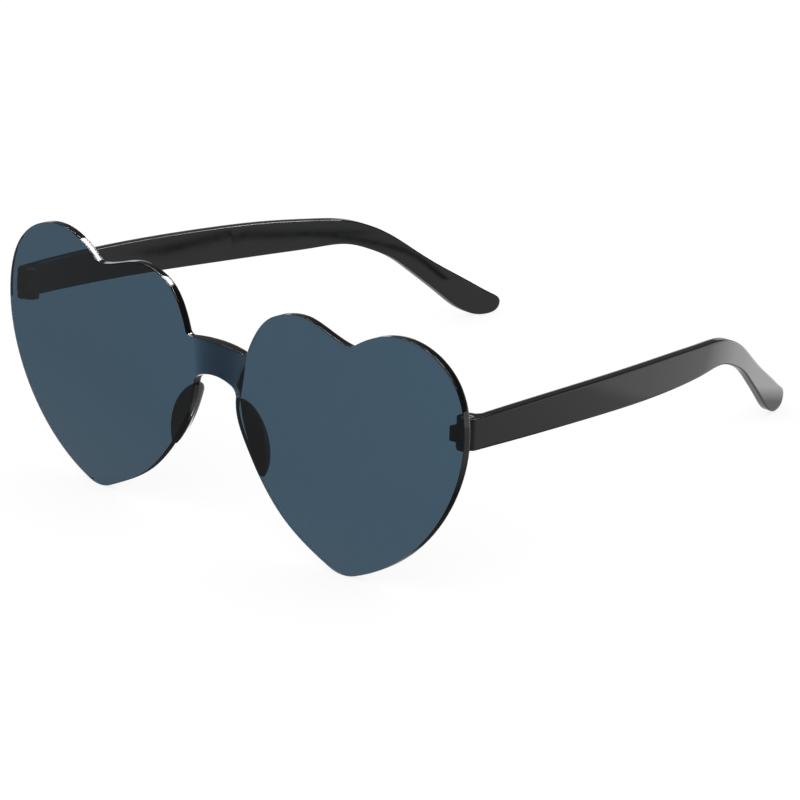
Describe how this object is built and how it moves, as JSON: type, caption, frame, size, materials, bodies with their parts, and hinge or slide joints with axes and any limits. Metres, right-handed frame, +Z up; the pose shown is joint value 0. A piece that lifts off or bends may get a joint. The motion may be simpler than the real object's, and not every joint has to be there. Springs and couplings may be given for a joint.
{
  "type": "heart shaped sunglasses",
  "caption": "Rimless sunglasses with a one-piece smoke lens shaped as joined hearts, bonded nose pads and folding temples on screw hinges.",
  "frame": {"origin": "on the floor that the heart tips and ear tips rest on, under the middle of the overall box", "axes": "+X to the wearer's left, +Y from the lens back towards the ears, +Z up; the front faces -Y"},
  "size_m": [0.148, 0.1408, 0.0591],
  "materials": {
    "smoke_lens": "polished see-through smoke polycarbonate",
    "black_plastic": "gloss black moulded plastic",
    "hinge_steel": "plain steel"
  },
  "bodies": {
    "front": {"lens_shield": "smoke_lens", "nose_pad_left": "black_plastic", "nose_pad_right": "black_plastic", "hinge_tongue_left": "black_plastic", "hinge_tongue_right": "black_plastic"},
    "left_temple": {"temple_left": "black_plastic", "hinge_screw_left": "hinge_steel", "hinge_nut_left": "hinge_steel"},
    "right_temple": {"temple_right": "black_plastic", "hinge_screw_right": "hinge_steel", "hinge_nut_right": "hinge_steel"}
  },
  "joints": [
    {"name": "left_fold", "type": "hinge", "parent": "front", "child": "left_temple", "pos_m": [0.0708, -0.05963, 0.03991], "axis": [0, 0.0843, 0.9964], "range_deg": [0, 76]},
    {"name": "right_fold", "type": "hinge", "parent": "front", "child": "right_temple", "pos_m": [-0.0708, -0.05963, 0.03991], "axis": [0, -0.0843, -0.9964], "range_deg": [0, 80]}
  ]
}
